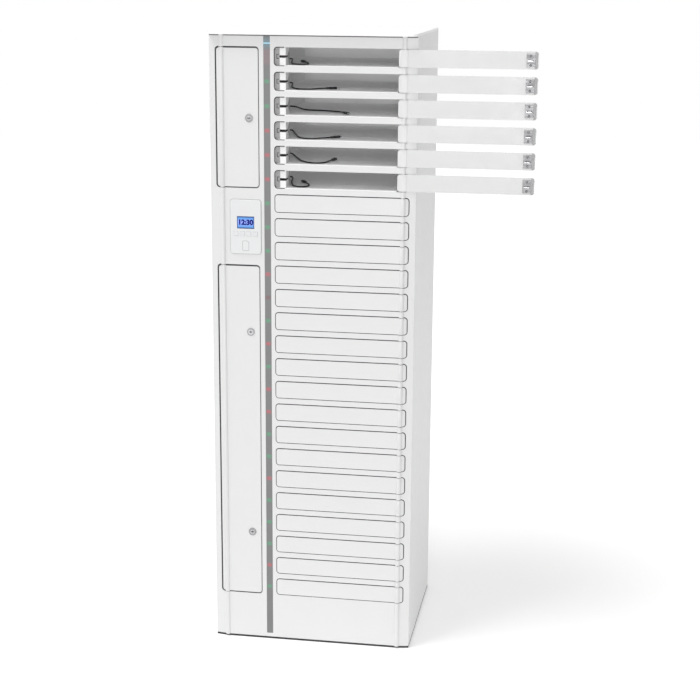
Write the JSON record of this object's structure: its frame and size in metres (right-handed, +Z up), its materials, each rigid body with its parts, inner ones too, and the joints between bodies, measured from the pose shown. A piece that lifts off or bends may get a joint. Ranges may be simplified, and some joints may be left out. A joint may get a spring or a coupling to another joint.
{
  "type": "laptop charging locker",
  "caption": "Tall white steel locker with stacked charging bays, a door on each bay, an indicator strip, a control panel and lockable service doors.",
  "frame": {"origin": "on the floor under the middle of the cabinet", "axes": "+Z up, +X to the right seen from the front, +Y to the back; the front faces -Y"},
  "size_m": [0.8727, 0.497, 1.72],
  "materials": {
    "door_paint": "powder coat, smooth satin",
    "body_paint": "powder coat, smooth satin",
    "front_paint": "powder coat, smooth satin",
    "inner_paint": "powder coat, satin",
    "plinth_paint": "powder coat, matt",
    "lock_chrome": "polished",
    "button_plastic": "matt",
    "zinc_steel": "zinc plated",
    "diffuser": "translucent satin",
    "circuit_board": "solder mask",
    "black_rubber": "matt",
    "lock_plastic": "moulded satin",
    "panel_plastic": "moulded satin",
    "display_glass": "backlit",
    "black_plastic": "fine texture",
    "controller_paint": "powder coat",
    "duct_plastic": "matt",
    "lead_rubber": "smooth satin"
  },
  "bodies": {
    "cabinet": {"adapter_racks": "zinc_steel", "back_panel": "body_paint", "bay_back_wall": "inner_paint", "bay_front": "front_paint", "bay_locks": "lock_plastic", "bay_shelves": "inner_paint", "cable_duct": "duct_plastic", "charging_leads": "lead_rubber", "controller": "controller_paint", "display": "display_glass", "divider": "inner_paint", "hinge_rods": "zinc_steel", "indicator_board": "circuit_board", "indicator_strip": "diffuser", "lead_connectors": "black_plastic", "lead_grommets": "black_rubber", "mains_inlet": "black_plastic", "panel_housing": "panel_plastic", "plinth": "plinth_paint", "power_adapters": "black_plastic", "roof": "body_paint", "service_front": "front_paint", "side_panel_left": "body_paint", "side_panel_right": "body_paint", "socket_strips": "black_plastic"},
    "bay_door_01": {"bay_door_01": "door_paint"},
    "bay_door_02": {"bay_door_02": "door_paint"},
    "bay_door_03": {"bay_door_03": "door_paint"},
    "bay_door_04": {"bay_door_04": "door_paint"},
    "bay_door_05": {"bay_door_05": "door_paint"},
    "bay_door_06": {"bay_door_06": "door_paint"},
    "bay_door_07": {"bay_door_07": "door_paint"},
    "bay_door_08": {"bay_door_08": "door_paint"},
    "bay_door_09": {"bay_door_09": "door_paint"},
    "bay_door_10": {"bay_door_10": "door_paint"},
    "bay_door_11": {"bay_door_11": "door_paint"},
    "bay_door_12": {"bay_door_12": "door_paint"},
    "bay_door_13": {"bay_door_13": "door_paint"},
    "bay_door_14": {"bay_door_14": "door_paint"},
    "bay_door_15": {"bay_door_15": "door_paint"},
    "bay_door_16": {"bay_door_16": "door_paint"},
    "bay_door_17": {"bay_door_17": "door_paint"},
    "bay_door_18": {"bay_door_18": "door_paint"},
    "bay_door_19": {"bay_door_19": "door_paint"},
    "bay_door_20": {"bay_door_20": "door_paint"},
    "bay_door_21": {"bay_door_21": "door_paint"},
    "bay_door_22": {"bay_door_22": "door_paint"},
    "bay_door_23": {"bay_door_23": "door_paint"},
    "bay_door_24": {"bay_door_24": "door_paint"},
    "service_door_upper": {"service_door_upper": "door_paint"},
    "service_door_lower": {"service_door_lower": "door_paint"},
    "cam_lock_upper": {"cam_lock_upper": "lock_chrome"},
    "cam_lock_middle": {"cam_lock_middle": "lock_chrome"},
    "cam_lock_lower": {"cam_lock_lower": "lock_chrome"},
    "panel_button_1": {"panel_button_1": "button_plastic"},
    "panel_button_2": {"panel_button_2": "button_plastic"},
    "panel_button_3": {"panel_button_3": "button_plastic"},
    "panel_button_4": {"panel_button_4": "button_plastic"}
  },
  "joints": [
    {"name": "bay_door_01_hinge", "type": "hinge", "parent": "cabinet", "child": "bay_door_01", "pos_m": [0.246, -0.2365, 1.6565], "axis": [0, 0, 1], "range_deg": [-180, 0]},
    {"name": "bay_door_02_hinge", "type": "hinge", "parent": "cabinet", "child": "bay_door_02", "pos_m": [0.246, -0.2365, 1.5915], "axis": [0, 0, 1], "range_deg": [-180, 0]},
    {"name": "bay_door_03_hinge", "type": "hinge", "parent": "cabinet", "child": "bay_door_03", "pos_m": [0.246, -0.2365, 1.5265], "axis": [0, 0, 1], "range_deg": [-180, 0]},
    {"name": "bay_door_04_hinge", "type": "hinge", "parent": "cabinet", "child": "bay_door_04", "pos_m": [0.246, -0.2365, 1.4615], "axis": [0, 0, 1], "range_deg": [-180, 0]},
    {"name": "bay_door_05_hinge", "type": "hinge", "parent": "cabinet", "child": "bay_door_05", "pos_m": [0.246, -0.2365, 1.3965], "axis": [0, 0, 1], "range_deg": [-180, 0]},
    {"name": "bay_door_06_hinge", "type": "hinge", "parent": "cabinet", "child": "bay_door_06", "pos_m": [0.246, -0.2365, 1.3315], "axis": [0, 0, 1], "range_deg": [-180, 0]},
    {"name": "bay_door_07_hinge", "type": "hinge", "parent": "cabinet", "child": "bay_door_07", "pos_m": [0.246, -0.2365, 1.2665], "axis": [0, 0, 1], "range_deg": [0, 180]},
    {"name": "bay_door_08_hinge", "type": "hinge", "parent": "cabinet", "child": "bay_door_08", "pos_m": [0.246, -0.2365, 1.2015], "axis": [0, 0, 1], "range_deg": [0, 180]},
    {"name": "bay_door_09_hinge", "type": "hinge", "parent": "cabinet", "child": "bay_door_09", "pos_m": [0.246, -0.2365, 1.1365], "axis": [0, 0, 1], "range_deg": [0, 180]},
    {"name": "bay_door_10_hinge", "type": "hinge", "parent": "cabinet", "child": "bay_door_10", "pos_m": [0.246, -0.2365, 1.0715], "axis": [0, 0, 1], "range_deg": [0, 180]},
    {"name": "bay_door_11_hinge", "type": "hinge", "parent": "cabinet", "child": "bay_door_11", "pos_m": [0.246, -0.2365, 1.0065], "axis": [0, 0, 1], "range_deg": [0, 180]},
    {"name": "bay_door_12_hinge", "type": "hinge", "parent": "cabinet", "child": "bay_door_12", "pos_m": [0.246, -0.2365, 0.9415], "axis": [0, 0, 1], "range_deg": [0, 180]},
    {"name": "bay_door_13_hinge", "type": "hinge", "parent": "cabinet", "child": "bay_door_13", "pos_m": [0.246, -0.2365, 0.8765], "axis": [0, 0, 1], "range_deg": [0, 180]},
    {"name": "bay_door_14_hinge", "type": "hinge", "parent": "cabinet", "child": "bay_door_14", "pos_m": [0.246, -0.2365, 0.8115], "axis": [0, 0, 1], "range_deg": [0, 180]},
    {"name": "bay_door_15_hinge", "type": "hinge", "parent": "cabinet", "child": "bay_door_15", "pos_m": [0.246, -0.2365, 0.7465], "axis": [0, 0, 1], "range_deg": [0, 180]},
    {"name": "bay_door_16_hinge", "type": "hinge", "parent": "cabinet", "child": "bay_door_16", "pos_m": [0.246, -0.2365, 0.6815], "axis": [0, 0, 1], "range_deg": [0, 180]},
    {"name": "bay_door_17_hinge", "type": "hinge", "parent": "cabinet", "child": "bay_door_17", "pos_m": [0.246, -0.2365, 0.6165], "axis": [0, 0, 1], "range_deg": [0, 180]},
    {"name": "bay_door_18_hinge", "type": "hinge", "parent": "cabinet", "child": "bay_door_18", "pos_m": [0.246, -0.2365, 0.5515], "axis": [0, 0, 1], "range_deg": [0, 180]},
    {"name": "bay_door_19_hinge", "type": "hinge", "parent": "cabinet", "child": "bay_door_19", "pos_m": [0.246, -0.2365, 0.4865], "axis": [0, 0, 1], "range_deg": [0, 180]},
    {"name": "bay_door_20_hinge", "type": "hinge", "parent": "cabinet", "child": "bay_door_20", "pos_m": [0.246, -0.2365, 0.4215], "axis": [0, 0, 1], "range_deg": [0, 180]},
    {"name": "bay_door_21_hinge", "type": "hinge", "parent": "cabinet", "child": "bay_door_21", "pos_m": [0.246, -0.2365, 0.3565], "axis": [0, 0, 1], "range_deg": [0, 180]},
    {"name": "bay_door_22_hinge", "type": "hinge", "parent": "cabinet", "child": "bay_door_22", "pos_m": [0.246, -0.2365, 0.2915], "axis": [0, 0, 1], "range_deg": [0, 180]},
    {"name": "bay_door_23_hinge", "type": "hinge", "parent": "cabinet", "child": "bay_door_23", "pos_m": [0.246, -0.2365, 0.2265], "axis": [0, 0, 1], "range_deg": [0, 180]},
    {"name": "bay_door_24_hinge", "type": "hinge", "parent": "cabinet", "child": "bay_door_24", "pos_m": [0.246, -0.2365, 0.1615], "axis": [0, 0, 1], "range_deg": [0, 180]},
    {"name": "service_door_upper_hinge", "type": "hinge", "parent": "cabinet", "child": "service_door_upper", "pos_m": [-0.246, -0.2365, 1.49375], "axis": [0, 0, -1], "range_deg": [0, 180]},
    {"name": "service_door_lower_hinge", "type": "hinge", "parent": "cabinet", "child": "service_door_lower", "pos_m": [-0.246, -0.2365, 0.616], "axis": [0, 0, -1], "range_deg": [0, 180]},
    {"name": "cam_lock_upper_turn", "type": "hinge", "parent": "service_door_upper", "child": "cam_lock_upper", "pos_m": [-0.171, -0.2375, 1.49375], "axis": [0, 1, 0], "range_deg": [0, 90]},
    {"name": "cam_lock_middle_turn", "type": "hinge", "parent": "service_door_lower", "child": "cam_lock_middle", "pos_m": [-0.171, -0.2375, 0.908], "axis": [0, 1, 0], "range_deg": [0, 90]},
    {"name": "cam_lock_lower_turn", "type": "hinge", "parent": "service_door_lower", "child": "cam_lock_lower", "pos_m": [-0.171, -0.2375, 0.324], "axis": [0, 1, 0], "range_deg": [0, 90]},
    {"name": "panel_button_1_press", "type": "slide", "parent": "cabinet", "child": "panel_button_1", "axis": [0, 1, 0], "range_m": [0, 0.001], "stiffness_N_per_m": 400},
    {"name": "panel_button_2_press", "type": "slide", "parent": "cabinet", "child": "panel_button_2", "axis": [0, 1, 0], "range_m": [0, 0.001], "stiffness_N_per_m": 400},
    {"name": "panel_button_3_press", "type": "slide", "parent": "cabinet", "child": "panel_button_3", "axis": [0, 1, 0], "range_m": [0, 0.001], "stiffness_N_per_m": 400},
    {"name": "panel_button_4_press", "type": "slide", "parent": "cabinet", "child": "panel_button_4", "axis": [0, 1, 0], "range_m": [0, 0.001], "stiffness_N_per_m": 400}
  ]
}
